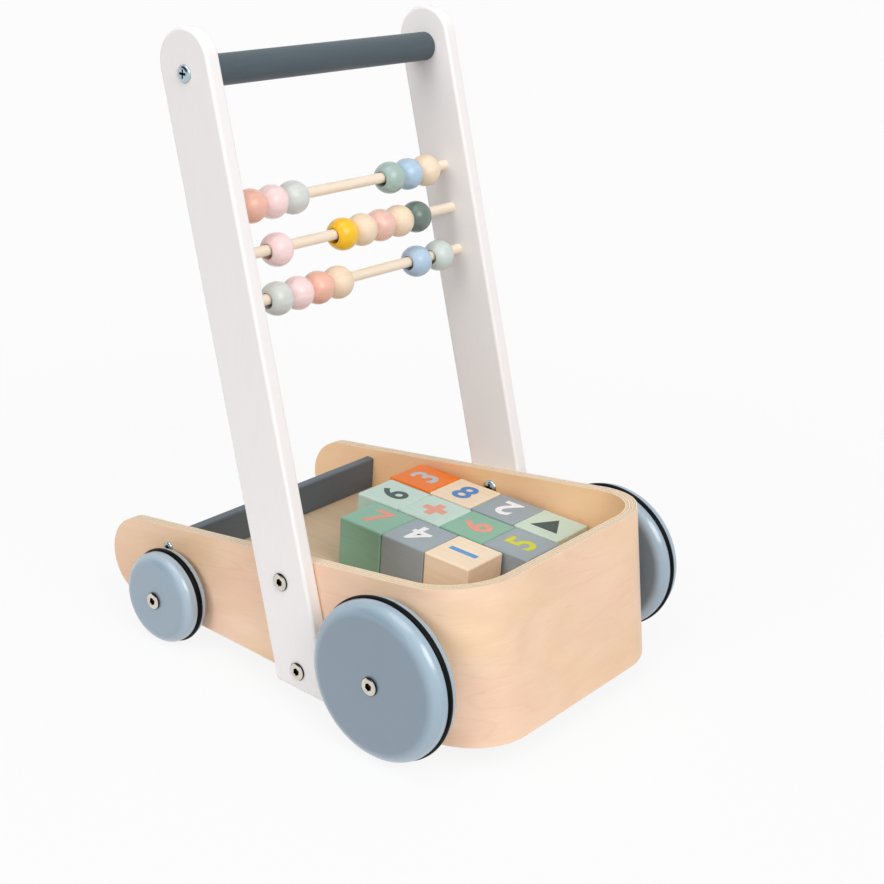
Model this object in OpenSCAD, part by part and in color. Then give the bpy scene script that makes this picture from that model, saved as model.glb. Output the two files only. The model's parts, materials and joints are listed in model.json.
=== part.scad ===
// Wooden push walker: a tray of bent plywood on four ring-tyred wheels, two
// leaning uprights with a round handle bar, three rails of sliding beads and a
// load of wooden blocks. Millimetres; X points forwards, Y to the child's left,
// Z up from the ground. Distances along X are measured from the front axle.

/* [Tray] */
// Width over the outside of the side walls
tray_w = 239; // [225:1:270]
// Thickness of the bent plywood wall
wall_t = 9; // [7:0.5:12]
// Angle at which the rim rises towards the front; the front wall is square to the rim
rim_slope = 8.9; // [7:0.1:10]
// Height of the rim above the ground, over the front axle
rim_h = 121.5; // [114:0.5:140]
// Height of the lower edge of the walls above the ground
ground_gap = 14.5; // [10:0.5:18]
// Distance from the front axle to the foot of the front wall
front_reach = 70.5; // [66:0.5:90]
// Distance from the front axle back to the centre of the round tails of the side walls
tail_reach = 263.5; // [255:0.5:280]
// Outer radius of the two bends at the front
bend_r = 53.5; // [30:0.5:60]
// Thickness of the tray floor
floor_t = 6; // [4:0.5:7]
// Height of the upper face of the tray floor above the ground
floor_h = 50.5; // [49:0.5:51.5]
// Height and width of the two battens under the floor
batten = 9; // [6:0.5:10]

/* [Back board] */
// Thickness of the back board
board_t = 8; // [6:0.5:12]
// Height of the back board
board_h = 27; // [24:0.5:30]
// Distance from the front axle back to the front face of the board
board_reach = 228; // [225:0.5:235]
// Radius of the eased edges of the board
board_edge = 1.5; // [0.5:0.25:2.5]

/* [Uprights] */
// Height of the walker over the round tops of the uprights
overall_h = 462; // [432:1:482]
// Width of an upright, seen from the side
upright_w = 48; // [42:0.5:54]
// Thickness of an upright
upright_t = 12; // [10:0.5:15]
// Backward lean of the uprights from the vertical
lean = 16.7; // [14:0.1:18]
// Height of the foot of the uprights above the ground
foot_h = 12.5; // [8:0.5:18]
// Radius of the eased edges of the uprights
upright_edge = 2.5; // [1:0.25:4]
// Height of the upper connector bolt
bolt_high = 91; // [87:0.5:95]
// Height of the lower connector bolt
bolt_low = 27.5; // [26:0.5:29]
// Distance from the front axle back to the upper connector bolt
bolt_reach = 102.3; // [96:0.1:106]

/* [Handle and rails] */
// Diameter of the handle bar
handle_d = 22; // [18:0.5:28]
// Distance along the upright from the centre of its round top to the handle bar
handle_drop = 6.8; // [0:0.1:10]
// Diameter of the bead rails
rail_d = 8; // [6:0.5:9]
// Depth of the blind holes that hold the rails in the uprights
rail_seat = 7; // [4:0.5:8]
// Distance along the upright from the centre of its round top to the top rail
rail_drop = 100.4; // [80:0.2:130]
// Distance between two rails, along the upright
rail_pitch = 33.5; // [30:0.5:45]
// Diameter of a bead
bead_d = 24.5; // [24:0.5:27]
// Width of a bead along its rail
bead_w = 20.8; // [18:0.2:21]
// Radial clearance of a bead on its rail; the bead hangs down by most of it
bead_play = 1.5; // [0.5:0.1:1.5]
// Depth of the countersink at both mouths of a bead
bead_sink = 0.6; // [0.3:0.1:0.8]

/* [Wheels] */
// Distance between the front and the rear axle
wheelbase = 220; // [210:1:235]
// Diameter of a front wheel over its tyre
front_d = 117; // [116:0.5:126]
// Diameter of a rear wheel over its tyre
rear_d = 73.2; // [66:0.1:74]
// Thickness of a front wheel
front_t = 25.6; // [25:0.1:30]
// Thickness of a rear wheel
rear_t = 22.4; // [22:0.1:26]
// Depth of the soft outer edge of a front wheel, across the wheel
front_round = 9; // [6:0.2:11.4]
// Depth of the soft inner edge of a front wheel, across the wheel
front_inner_round = 7.4; // [3:0.2:7.4]
// Depth of the soft outer edge of a rear wheel, across the wheel
rear_round = 8; // [6:0.2:11.4]
// Depth of the soft inner edge of a rear wheel, across the wheel
rear_inner_round = 3.6; // [2:0.2:4.4]
// Width of the soft edges along the radius, as a share of their depth
round_spread = 1.25; // [1.1:0.05:1.4]
// Diameter of the rubber ring of a tyre
ring_d = 5.8; // [5:0.1:6]
// How far the ring stands out of its groove
ring_proud = 1.5; // [1:0.1:1.6]
// Distance from the outer face of a wheel to the middle of its ring
ring_back = 14.2; // [14.2:0.1:14.8]
// Gap between a wall and a front wheel, filled by the spacer
front_gap = 5; // [3:0.5:8]
// Gap between a wall and a rear wheel, filled by the spacer
rear_gap = 3; // [3:0.5:6]
// Diameter of the shoulder that a wheel turns on
shoulder_d = 8; // [6:0.5:9]
// Outer diameter of the bush in a hub
bush_d = 11; // [10:0.5:12.5]

/* [Fasteners] */
// Diameter of the flat bolt heads
head_d = 13; // [12:0.5:15]
// Height of the flat bolt heads
head_h = 2.2; // [1.5:0.1:3]
// Width across the flats of the hexagon socket in a bolt head
socket_w = 5; // [4:0.5:6]
// Diameter of the bolt shanks
shank_d = 5.8; // [4:0.1:6]
// Diameter of the barrel of a cap nut
barrel_d = 7.6; // [7:0.1:8.5]
// Diameter of the head of a cap nut
nut_head_d = 12; // [10:0.5:13]
// Diameter of the heads of the screws in the handle bar
handle_head_d = 12.5; // [9:0.5:14]
// Diameter of the heads of the screws in the back board
board_head_d = 8; // [6:0.5:9]

/* [Blocks] */
// Edge length of a block
block_s = 41.5; // [36:0.5:42]
// Gap between the blocks of one row
block_gap = 0.5; // [0.3:0.1:2]
// Gap between two rows
row_gap = 2; // [0.5:0.1:3]
// Gap between the first row and the left wall
side_gap = 4.5; // [3.5:0.5:8]
// Gap between the back board and the first row
back_gap = 57; // [30:0.5:58]
// Chamfer of the edges of a block
block_edge = 1.2; // [0.4:0.1:2]

/* [Hidden] */
$fn = 96;
slack = 1;          // extra length of a cutting tool past the face that it opens
glue_gap = 0.05;    // radial gap of a glued or pressed fit
run_gap = 0.05;     // radial gap of a turning fit
side_play = 0.25;   // gap at each side of a wheel, and between beads in a cluster
floor_gap = 0.2;    // gap around the edge of the tray floor
nut_head_h = 2.5;   // height of the cross-slotted head of a cap nut
end_wood = 3;       // wood or thread left beyond the end of a bolt
hole_gap = 0.2;     // radial gap of a hole around a bolt barrel
spacer_d = 2 * shoulder_d;
bead_lift = 0.3;    // gap left between a rail and the bore of the bead that hangs on it
batten_play = 9;    // distance of the battens from the rear wheels' nuts and the front axle
slot_w = 1.6;       // width of a cross slot
slot_deep = 1.5;    // depth of a cross slot
screw_d = 4;        // shank of a wood screw
handle_screw_l = 42;
board_screw_l = 32;
screw_head_h = 2.4;

rim_rise = tan(rim_slope);
half_w = tray_w / 2;
inner_half = half_w - wall_t;
front_axle_h = front_d / 2;
rear_axle_h = rear_d / 2;

// Round tail of a side wall, tangent to the rim and to the lower edge
tail_rim_h = rim_h - tail_reach * rim_rise;
tail_r = (tail_rim_h - ground_gap) / (1 + 1 / cos(rim_slope));
tail_h = ground_gap + tail_r;

// The origin lies under the middle of the walker's length
rear_end = -max(tail_reach + tail_r, wheelbase + rear_axle_h);
front_end = max(front_reach, front_axle_h);
origin_x = (rear_end + front_end) / 2;

// Uprights: centre of the round top, and places along the centre line
top_h = overall_h - upright_w / 2;
top_x = -bolt_reach - (top_h - bolt_high) * tan(lean);
function drop_at(height) = (top_h - height) / cos(lean);
upright_l = drop_at(foot_h) + upright_w / 2;
rail_names = ["top", "middle", "bottom"];
rail_drops = [for (i = [0:2]) rail_drop + i * rail_pitch];

// Beads of each rail: [name of the colour, gap before the bead], counted from the
// right-hand upright, then from the left-hand upright
touch = side_play;
right_beads = [
    [["salmon", 15], ["pink", touch], ["mist", touch]],
    [["pink", 32.4]],
    [["mist", 23.8], ["pink", touch], ["salmon", touch], ["natural", touch]]
];
left_beads = [
    [["natural", 13.4], ["blue", touch], ["sage", touch]],
    [["forest", 33], ["natural", touch], ["rose", touch], ["natural", touch], ["yellow", touch]],
    [["leaf", 14.2], ["blue", 6.4]]
];
function gaps(beads, i) = i < 0 ? 0 : beads[i][1] + gaps(beads, i - 1);
function bead_y(beads, i) = half_w - gaps(beads, i) - (i + 0.5) * bead_w;
function mirrored(list) = [for (i = [1:len(list)]) list[len(list) - i]];
// All beads of a rail from right to left: [name of the colour, place along Y]
function rail_beads(rail) = concat(
    [for (i = [0:len(right_beads[rail]) - 1])
        [right_beads[rail][i][0], -bead_y(right_beads[rail], i)]],
    mirrored([for (i = [0:len(left_beads[rail]) - 1])
        [left_beads[rail][i][0], bead_y(left_beads[rail], i)]])
);
function bead_name(rail, i) = str(rail_names[rail], "_bead_", i + 1);

// Wheels: [name, place along X, side, diameter, thickness, depth of the outer edge, gap,
// depth of the inner edge]
wheels = [
    ["front_right", 0, -1, front_d, front_t, front_round, front_gap, front_inner_round],
    ["front_left", 0, 1, front_d, front_t, front_round, front_gap, front_inner_round],
    ["rear_right", -wheelbase, -1, rear_d, rear_t, rear_round, rear_gap, rear_inner_round],
    ["rear_left", -wheelbase, 1, rear_d, rear_t, rear_round, rear_gap, rear_inner_round]
];
tight_share = 0.6;   // radius of the tight arc of a soft edge, as a share of its depth
disc_bore_r = bush_d / 2 + glue_gap;

// Blocks: the rows run along X, the first one beside the left wall:
// [offset of the row towards the front, colours from the back to the front]
block_rows = [
    [0, ["orange", "maple", "grey", "leaf"]],
    [4, ["mint", "mint", "green", "grey"]],
    [25, ["green", "grey", "maple"]]
];
blocks = [for (r = [0:len(block_rows) - 1]) for (c = [0:len(block_rows[r][1]) - 1])
    [block_rows[r][1][c],
     -board_reach + back_gap + block_rows[r][0] + c * (block_s + block_gap),
     inner_half - side_gap - block_s - r * (block_s + row_gap)]];

palette = [
    ["salmon", "#E9A086"], ["pink", "#F4C7C9"], ["mist", "#BEC9C4"], ["natural", "#F0D5AE"],
    ["sage", "#94B5A9"], ["blue", "#9EBFE3"], ["yellow", "#F6C800"], ["forest", "#5B7068"],
    ["rose", "#E4AE9E"], ["leaf", "#BFD0C6"], ["orange", "#EE7A30"], ["maple", "#F5DFBC"],
    ["grey", "#9EA6A8"], ["mint", "#BFDCCB"], ["green", "#7DB798"], ["birch", "#EFCBA5"],
    ["white", "#F1EDEA"], ["slate", "#59636A"], ["powder", "#9DB2C2"], ["black", "#1B1B1D"],
    ["nickel", "#CFCFCC"], ["zinc", "#B9C6CC"], ["nylon", "#E8E8E2"]
];
function shade(name) = [for (p = palette) if (p[0] == name) p[1]][0];

// Places

module placed() {
    translate([-origin_x, 0, 0]) children();
}

module both_sides() {
    for (side = [0, 1]) mirror([0, side, 0]) children();
}

// The upright's own frame: origin at the centre of the round top, Z along the board
module on_upright() {
    translate([top_x, 0, top_h]) rotate([0, -lean, 0]) children();
}

// A fastener along -Y, its head's seat on the plane y = seat
module across(x, height, seat) {
    translate([x, seat, height]) rotate([90, 0, 0]) children();
}

// Outlines

module rounded_rectangle(w, h, r) {
    square([w - 2 * r, h], center = true);
    square([w, h - 2 * r], center = true);
    for (x = [-1, 1], y = [-1, 1]) translate([x * (w / 2 - r), y * (h / 2 - r)]) circle(r);
}

// Plan of the tray square to the rim: x = 0 is its front, the corners there are round
module tray_plan(inset, length) {
    w = tray_w - 2 * inset;
    r = bend_r - inset;
    translate([-length, -w / 2]) square([length - inset - r, w]);
    translate([-inset - r - slack, -w / 2 + r]) square([r + slack, w - 2 * r]);
    for (side = [-1, 1]) translate([-inset - r, side * (w / 2 - r)]) circle(r);
}

// A column of the tray plan, square to the rim, its front standing on the foot line
module tray_column(inset, length) {
    translate([front_reach, 0, ground_gap]) rotate([0, -rim_slope, 0])
        translate([0, 0, -length / 2]) linear_extrude(length) tray_plan(inset, length);
}

// Side view of the walls: level below, rim rising to the front, round tails
module wall_side_view() {
    ahead = front_reach + slack;
    rim_end = [-tail_reach - tail_r * sin(rim_slope), tail_h + tail_r * cos(rim_slope)];
    polygon([
        [-tail_reach, ground_gap], [ahead, ground_gap], [ahead, rim_h + ahead * rim_rise],
        rim_end, [-tail_reach, tail_h]
    ]);
    translate([-tail_reach, tail_h]) circle(tail_r);
}

// Half section of a wheel disc; x is the radius, y runs from the inner to the outer face
module disc_section(d, t, outer, inner) {
    r = d / 2 - ring_proud;
    translate([0, inner]) square([r, t - outer - inner]);
    translate([0, t - outer]) soft_edge(r, outer);
    translate([0, inner]) mirror([0, 1]) soft_edge(r, inner);
}

// Section of a disc from y = 0 up to a face: a wide arc from the face runs on into a
// tight arc at the rim
module soft_edge(r, depth) {
    spread = depth * round_spread;
    tight = depth * tight_share;
    turn = 2 * atan((depth - tight) / (spread - tight));
    wide = (spread - tight) / sin(turn) + tight;
    square([r - spread, depth]);
    translate([r - tight, 0]) circle(tight);
    translate([r - spread, depth - wide]) intersection() {
        circle(wide);
        polygon([[0, 0], [0, 2 * wide], 2 * wide * [sin(turn), cos(turn)]]);
    }
}

function ring_y(t) = t - ring_back;
function ring_r(d) = (d - ring_d) / 2;

// Tray

module tray_wall() {
    color(shade("birch")) difference() {
        intersection() {
            difference() {
                tray_column(0, 2 * tray_w + front_reach + tail_reach);
                tray_column(wall_t, 2 * tray_w + front_reach + tail_reach + slack);
            }
            rotate([90, 0, 0]) linear_extrude(tray_w + 2 * slack, center = true) wall_side_view();
        }
        both_sides() {
            for (h = [bolt_high, bolt_low]) bolt_hole(bolt_x(h), h);
            bolt_hole(0, front_axle_h);
            bolt_hole(-wheelbase, rear_axle_h);
            for (h = board_screw_heights) across(board_x, h, -inner_half + slack)
                cylinder(d = screw_d + 2 * glue_gap, h = wall_t + 2 * slack);
        }
    }
}

module bolt_hole(x, height) {
    across(x, height, -inner_half + slack)
        cylinder(d = barrel_d + 2 * hole_gap, h = wall_t + upright_t + 2 * slack);
}

module tray_floor() {
    color(shade("birch")) intersection() {
        tray_column(wall_t + floor_gap, 2 * tray_w + front_reach + tail_reach);
        translate([-board_reach - board_t, -half_w, floor_h - floor_t])
            cube([board_reach + board_t + front_reach, tray_w, floor_t]);
    }
}

module floor_batten() {
    from = -wheelbase + nut_head_d / 2 + batten_play;
    color(shade("natural")) translate([from, -inner_half, floor_h - floor_t - batten])
        cube([-from - batten_play, batten, batten]);
}

// Back board and its screws

board_x = -board_reach - board_t / 2;
board_screw_heights = [for (share = [0.28, 0.68]) floor_h + share * board_h];

module back_board() {
    color(shade("slate")) difference() {
        translate([board_x, 0, floor_h + board_h / 2]) rotate([90, 0, 0])
            linear_extrude(2 * inner_half, center = true)
                rounded_rectangle(board_t, board_h, board_edge);
        both_sides() for (h = board_screw_heights) across(board_x, h, -inner_half + board_screw_l)
            cylinder(d = screw_d + 2 * glue_gap, h = board_screw_l + slack);
    }
}

module back_board_screws() {
    color(shade("zinc")) both_sides() for (h = board_screw_heights)
        across(board_x, h, -half_w) wood_screw(board_head_d, board_screw_l);
}

// A pan-head screw with a cross slot; z = 0 is the seat of its head
module wood_screw(head, length) {
    difference() {
        union() {
            translate([0, 0, -length]) cylinder(d = screw_d, h = length);
            cylinder(d1 = head, d2 = head * 0.7, h = screw_head_h);
        }
        cross_slot(screw_head_h, head / 2);
    }
}

module cross_slot(top, length) {
    for (turn = [0, 90]) rotate(turn)
        translate([-length / 2, -slot_w / 2, top - slot_deep]) cube([length, slot_w, slot_deep + slack]);
}

// Uprights

function bolt_x(height) = -bolt_reach + (bolt_high - height) * tan(lean);

// The board of the right-hand upright, before its lower end is cut level
module upright_blank() {
    w = upright_w;
    translate([0, -half_w - upright_t / 2, 0]) {
        translate([0, 0, -upright_l]) linear_extrude(upright_l)
            rounded_rectangle(w, upright_t, upright_edge);
        rotate([90, 0, 0]) rotate_extrude(angle = 180) intersection() {
            rounded_rectangle(w, upright_t, upright_edge);
            translate([0, -upright_t]) square([w, 2 * upright_t]);
        }
    }
}

module upright() {
    color(shade("white")) difference() {
        on_upright() upright_blank();
        translate([-tail_reach, -half_w - 2 * upright_t, foot_h - upright_w])
            cube([tail_reach + front_reach, 3 * upright_t, upright_w]);
        for (h = [bolt_high, bolt_low]) bolt_hole(bolt_x(h), h);
        on_upright() {
            for (drop = rail_drops) across(0, -drop, -half_w + slack)
                cylinder(d = rail_d + 2 * glue_gap, h = rail_seat + slack);
            across(0, -handle_drop, -half_w + slack)
                cylinder(d = screw_d + 2 * glue_gap, h = upright_t + 2 * slack);
        }
    }
}

module upright_bolts() {
    both_sides() for (h = [bolt_high, bolt_low])
        across(bolt_x(h), h, -half_w - upright_t) connector_bolt(0, upright_t + wall_t);
}

module upright_cap_nuts() {
    both_sides() for (h = [bolt_high, bolt_low])
        across(bolt_x(h), h, -inner_half) cap_nut(upright_t + wall_t);
}

// Flat bevelled bolt with a hexagon socket; z = 0 is the seat of its head, the
// shoulder comes first and the shank runs on through the given thickness
module connector_bolt(shoulder_l, through) {
    face = head_d * 0.72;
    color(shade("nickel")) difference() {
        union() {
            cylinder(d = head_d, h = head_h / 2);
            translate([0, 0, head_h / 2]) cylinder(d1 = head_d, d2 = face, h = head_h / 2);
            if (shoulder_l > 0) translate([0, 0, -shoulder_l]) cylinder(d = shoulder_d, h = shoulder_l);
            translate([0, 0, -shoulder_l - through + end_wood])
                cylinder(d = shank_d, h = through - end_wood + head_h / 2);
        }
        translate([0, 0, head_h - slot_deep])
            cylinder(d = socket_w / cos(30), h = slot_deep + slack, $fn = 6);
    }
}

// Nut with a cross-slotted head and a barrel; the head seats on the plane z = 0 and
// the barrel reaches up towards the bolt
module cap_nut(through) {
    barrel_l = through - 2 * end_wood;
    color(shade("nickel")) difference() {
        union() {
            translate([0, 0, -nut_head_h]) cylinder(d1 = nut_head_d * 0.8, d2 = nut_head_d, h = nut_head_h);
            cylinder(d = barrel_d, h = barrel_l);
        }
        cylinder(d = shank_d + 2 * glue_gap, h = barrel_l + slack);
        translate([0, 0, slot_deep - nut_head_h]) mirror([0, 0, 1]) cross_slot(slot_deep, nut_head_d * 0.55);
    }
}

// Handle bar and bead rails

module handle_bar() {
    color(shade("slate")) on_upright() difference() {
        across(0, -handle_drop, half_w) cylinder(d = handle_d, h = tray_w);
        both_sides() across(0, -handle_drop, -half_w + handle_screw_l - upright_t)
            cylinder(d = screw_d + 2 * glue_gap, h = handle_screw_l);
    }
}

module handle_screws() {
    color(shade("zinc")) both_sides() on_upright()
        across(0, -handle_drop, -half_w - upright_t) wood_screw(handle_head_d, handle_screw_l);
}

module rail(number) {
    length = tray_w + 2 * (rail_seat - glue_gap);
    color(shade("natural")) on_upright() across(0, -rail_drops[number], length / 2)
        cylinder(d = rail_d, h = length);
}

// A bored, countersunk ball with flat ends, hanging on its rail
module bead(colour, number, y) {
    bore_r = rail_d / 2 + bead_play;
    mouth = bead_w / 2 - bead_sink;
    color(shade(colour)) translate([0, 0, bead_lift - bead_play])
    on_upright() across(0, -rail_drops[number], y) rotate_extrude() difference() {
        circle(d = bead_d);
        for (end = [-1, 1]) {
            translate([-bead_d, end > 0 ? bead_w / 2 : -bead_w / 2 - bead_d]) square([2 * bead_d, bead_d]);
            polygon([
                [bore_r, end * mouth], [bore_r + bead_sink, end * (bead_w / 2 + glue_gap)],
                [0, end * (bead_w / 2 + glue_gap)], [0, end * mouth]
            ]);
        }
        translate([-bead_d, -bead_d]) square([bead_d + bore_r, 2 * bead_d]);
    }
}

// Wheels: each turns on the shoulder of its own bolt

// A wheel's frame: z = 0 is the inner face of the wheel, z runs outwards
module on_axle(w) {
    mirror([0, w[2] > 0 ? 1 : 0, 0]) across(w[1], w[3] / 2, -half_w - w[6] - side_play) children();
}

module wheel_disc(w) {
    color(shade("powder")) on_axle(w) rotate_extrude() difference() {
        disc_section(w[3], w[4], w[5], w[7]);
        translate([ring_r(w[3]), ring_y(w[4])]) circle(d = ring_d + 2 * glue_gap);
        translate([-slack, -slack]) square([disc_bore_r + slack, w[4] + 2 * slack]);
    }
}

module wheel_tyre(w) {
    color(shade("black")) on_axle(w) translate([0, 0, ring_y(w[4])])
        rotate_extrude() translate([ring_r(w[3]), 0]) circle(d = ring_d);
}

module wheel_bush(w) {
    color(shade("nylon")) on_axle(w) difference() {
        cylinder(d = bush_d, h = w[4]);
        translate([0, 0, -slack]) cylinder(d = shoulder_d + 2 * run_gap, h = w[4] + 2 * slack);
    }
}

module wheel_bolts(w) {
    shoulder_l = w[6] + w[4] + 2 * side_play;
    both_sides() across(w[1], w[3] / 2, -half_w - shoulder_l) connector_bolt(shoulder_l, wall_t);
}

module wheel_cap_nuts() {
    both_sides() for (w = [wheels[0], wheels[2]])
        across(w[1], w[3] / 2, -inner_half) cap_nut(wall_t);
}

module wheel_spacers() {
    color(shade("nylon")) both_sides() for (w = [wheels[0], wheels[2]])
        across(w[1], w[3] / 2, -half_w) difference() {
            cylinder(d = spacer_d, h = w[6]);
            translate([0, 0, -slack]) cylinder(d = shoulder_d + 2 * glue_gap, h = w[6] + 2 * slack);
        }
}

// Blocks

module chamfered_square(s, c) {
    h = s / 2;
    polygon([
        [h - c, -h], [h, -h + c], [h, h - c], [h - c, h],
        [-h + c, h], [-h, h - c], [-h, -h + c], [-h + c, -h]
    ]);
}

module block(b) {
    color(shade(b[0])) translate([b[1] + block_s / 2, b[2] + block_s / 2, floor_h + block_s / 2])
        intersection() {
            linear_extrude(block_s, center = true) chamfered_square(block_s, block_edge);
            rotate([90, 0, 0]) linear_extrude(block_s, center = true) chamfered_square(block_s, block_edge);
            rotate([0, 90, 0]) linear_extrude(block_s, center = true) chamfered_square(block_s, block_edge);
        }
}

// Assembly

placed() {
    tray_wall();
    tray_floor();
    floor_batten();  // floor_batten_right
    mirror([0, 1, 0]) floor_batten();  // floor_batten_left
    back_board();
    back_board_screws();
    upright();  // upright_right
    mirror([0, 1, 0]) upright();  // upright_left
    handle_bar();
    handle_screws();
    upright_bolts();
    upright_cap_nuts();
    wheel_bolts(wheels[0]);  // front_wheel_bolts
    wheel_bolts(wheels[2]);  // rear_wheel_bolts
    wheel_cap_nuts();
    wheel_spacers();
    for (number = [0:2]) {
        beads = rail_beads(number);
        rail(number);
        for (i = [0:len(beads) - 1])
            bead(beads[i][0], number, beads[i][1]);
    }
    for (w = wheels) {
        wheel_disc(w);
        wheel_tyre(w);
        wheel_bush(w);
    }
    for (i = [0:len(blocks) - 1])
        block(blocks[i]);
}
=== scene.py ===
"""The looks of a wooden push walker, built around its packed construction.

Metres, in the row frame: +X forwards, +Y to the child's left, +Z up from the ground.
Places and sizes come from the boxes of the construction's nodes.
"""

import json
import math

import bmesh
import bpy
from mathutils import Matrix, Vector

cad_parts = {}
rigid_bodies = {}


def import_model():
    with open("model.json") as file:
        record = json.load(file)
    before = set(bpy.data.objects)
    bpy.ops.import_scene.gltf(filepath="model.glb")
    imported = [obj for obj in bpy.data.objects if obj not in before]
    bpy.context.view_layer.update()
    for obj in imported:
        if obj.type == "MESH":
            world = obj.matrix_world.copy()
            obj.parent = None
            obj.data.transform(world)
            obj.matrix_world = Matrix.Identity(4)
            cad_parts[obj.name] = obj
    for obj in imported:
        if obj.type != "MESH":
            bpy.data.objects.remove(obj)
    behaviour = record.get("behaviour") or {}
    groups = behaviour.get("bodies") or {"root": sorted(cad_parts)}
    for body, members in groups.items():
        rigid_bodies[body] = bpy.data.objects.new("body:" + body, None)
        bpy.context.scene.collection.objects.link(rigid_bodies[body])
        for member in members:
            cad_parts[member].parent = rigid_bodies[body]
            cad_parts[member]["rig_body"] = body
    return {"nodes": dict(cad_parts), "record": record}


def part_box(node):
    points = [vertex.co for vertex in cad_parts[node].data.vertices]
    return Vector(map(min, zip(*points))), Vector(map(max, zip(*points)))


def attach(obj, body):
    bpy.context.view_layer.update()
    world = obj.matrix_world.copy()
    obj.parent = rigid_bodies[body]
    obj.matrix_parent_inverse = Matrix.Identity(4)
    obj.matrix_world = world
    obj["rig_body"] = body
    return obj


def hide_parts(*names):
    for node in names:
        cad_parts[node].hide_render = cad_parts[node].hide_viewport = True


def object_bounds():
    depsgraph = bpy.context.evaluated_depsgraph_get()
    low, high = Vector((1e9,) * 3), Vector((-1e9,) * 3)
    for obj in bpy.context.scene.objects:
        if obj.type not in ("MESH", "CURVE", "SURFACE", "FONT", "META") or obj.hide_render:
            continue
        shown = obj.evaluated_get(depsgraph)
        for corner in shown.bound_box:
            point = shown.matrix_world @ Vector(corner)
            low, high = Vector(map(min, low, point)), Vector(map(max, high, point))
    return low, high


MM = 0.001
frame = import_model()
cad_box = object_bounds()
slots = {entry["node"]: entry["material_slot"] for entry in frame["record"]["subparts"]}

# ---------------------------------------------------------------- camera

CAMERA_AZIMUTH = math.radians(39.38)
CAMERA_ELEVATION = math.radians(19.80)
CAMERA_ROLL = math.radians(3.14)
CAMERA_DISTANCE = 1.0356
CAMERA_LENS = 65.08
CAMERA_SHIFT = (0.0448, -0.0681)
# Where the optical axis passes the walker, as shares of its box
CAMERA_AIM = (0.747, 0.1504, 0.55494)


def make_camera():
    low, high = cad_box
    aim = Vector([a + (b - a) * share for a, b, share in zip(low, high, CAMERA_AIM)])
    turn = Matrix.Rotation(CAMERA_AZIMUTH, 3, "Z")
    tilt = Matrix.Rotation(math.pi / 2 - CAMERA_ELEVATION, 3, "X")
    facing = turn @ tilt @ Matrix.Rotation(CAMERA_ROLL, 3, "Z")
    data = bpy.data.cameras.new("camera")
    data.lens = CAMERA_LENS
    data.shift_x, data.shift_y = CAMERA_SHIFT
    data.clip_start = 0.01
    camera = bpy.data.objects.new("camera", data)
    camera.matrix_world = (
        Matrix.Translation(aim)
        @ facing.to_4x4()
        @ Matrix.Translation((0, 0, CAMERA_DISTANCE))
    )
    bpy.context.scene.collection.objects.link(camera)
    bpy.context.scene.camera = camera


make_camera()

# ---------------------------------------------------------------- shader nodes


def colour(code):
    """A linear RGBA colour from a six-digit sRGB code."""
    channels = [int(code[i : i + 2], 16) / 255 for i in (1, 3, 5)]
    return [c / 12.92 if c < 0.04045 else ((c + 0.055) / 1.055) ** 2.4 for c in channels] + [1]


def tint(code, factor, lift=0.0):
    """The colour of a code made darker or lighter by a factor, and lifted from black."""
    return [min(1, c * factor + lift) for c in colour(code)[:3]] + [1]


def join(tree, value, socket):
    """Links an output to a socket, or sets the socket to a plain value."""
    if isinstance(value, bpy.types.NodeSocket):
        tree.links.new(value, socket)
    else:
        socket.default_value = value


def add_node(tree, kind, inputs=None, **settings):
    """A shader node with its settings made and its inputs joined."""
    node = tree.nodes.new("ShaderNode" + kind)
    for key, value in settings.items():
        setattr(node, key, value)
    for key, value in (inputs or {}).items():
        join(tree, value, node.inputs[key])
    return node


class Shading:
    """A material with a Principled surface, and short calls that add and join its nodes."""

    def __init__(self, name, **surface):
        self.material = bpy.data.materials.new(name)
        self.material.use_nodes = True
        self.tree = self.material.node_tree
        self.surface = self.tree.nodes["Principled BSDF"]
        for socket, value in surface.items():
            self.surface.inputs[socket.replace("_", " ")].default_value = value

    def add(self, kind, inputs=None, **settings):
        return add_node(self.tree, kind, inputs, **settings)

    def place(self):
        return self.add("TexCoord").outputs["Object"]

    def math(self, operation, *values):
        return self.add("Math", dict(enumerate(values)), operation=operation).outputs[0]

    def noise(self, vector, scale, stretch=(1, 1, 1), detail=3.0, roughness=0.5, distortion=0.0):
        """Noise with features of 1 / scale metres, divided by stretch along each axis."""
        scaled = self.add("Mapping", {"Vector": vector, "Scale": stretch}).outputs[0]
        inputs = {
            "Vector": scaled,
            "Scale": scale,
            "Detail": detail,
            "Roughness": roughness,
            "Distortion": distortion,
        }
        return self.add("TexNoise", inputs).outputs["Fac"]

    def spread(self, value, low, high, to_low=0.0, to_high=1.0):
        """Maps the range from low to high to another one, and holds what lies beyond it."""
        source = {"Value": value, "From Min": low, "From Max": high}
        target = {"To Min": to_low, "To Max": to_high}
        return self.add("MapRange", source | target, clamp=True).outputs[0]

    def mix(self, factor, first, second, blend="MIX"):
        inputs = {"Factor": factor, "A": first, "B": second}
        return self.add("Mix", inputs, data_type="RGBA", blend_type=blend).outputs["Result"]

    def bump(self, height, strength, distance):
        inputs = {"Height": height, "Strength": strength, "Distance": distance}
        return self.add("Bump", inputs).outputs["Normal"]

    def finish(self, base, roughness, normal):
        join(self.tree, base, self.surface.inputs["Base Color"])
        join(self.tree, roughness, self.surface.inputs["Roughness"])
        join(self.tree, normal, self.surface.inputs["Normal"])
        return self.material


# ---------------------------------------------------------------- materials

# Noise along wood fibres changes this much more slowly than across them
FIBRE = 0.045


def along(axis):
    """Stretch of a grain pattern whose fibres run along the given axis (0, 1 or 2)."""
    return tuple(FIBRE if i == axis else 1.0 for i in range(3))


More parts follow.
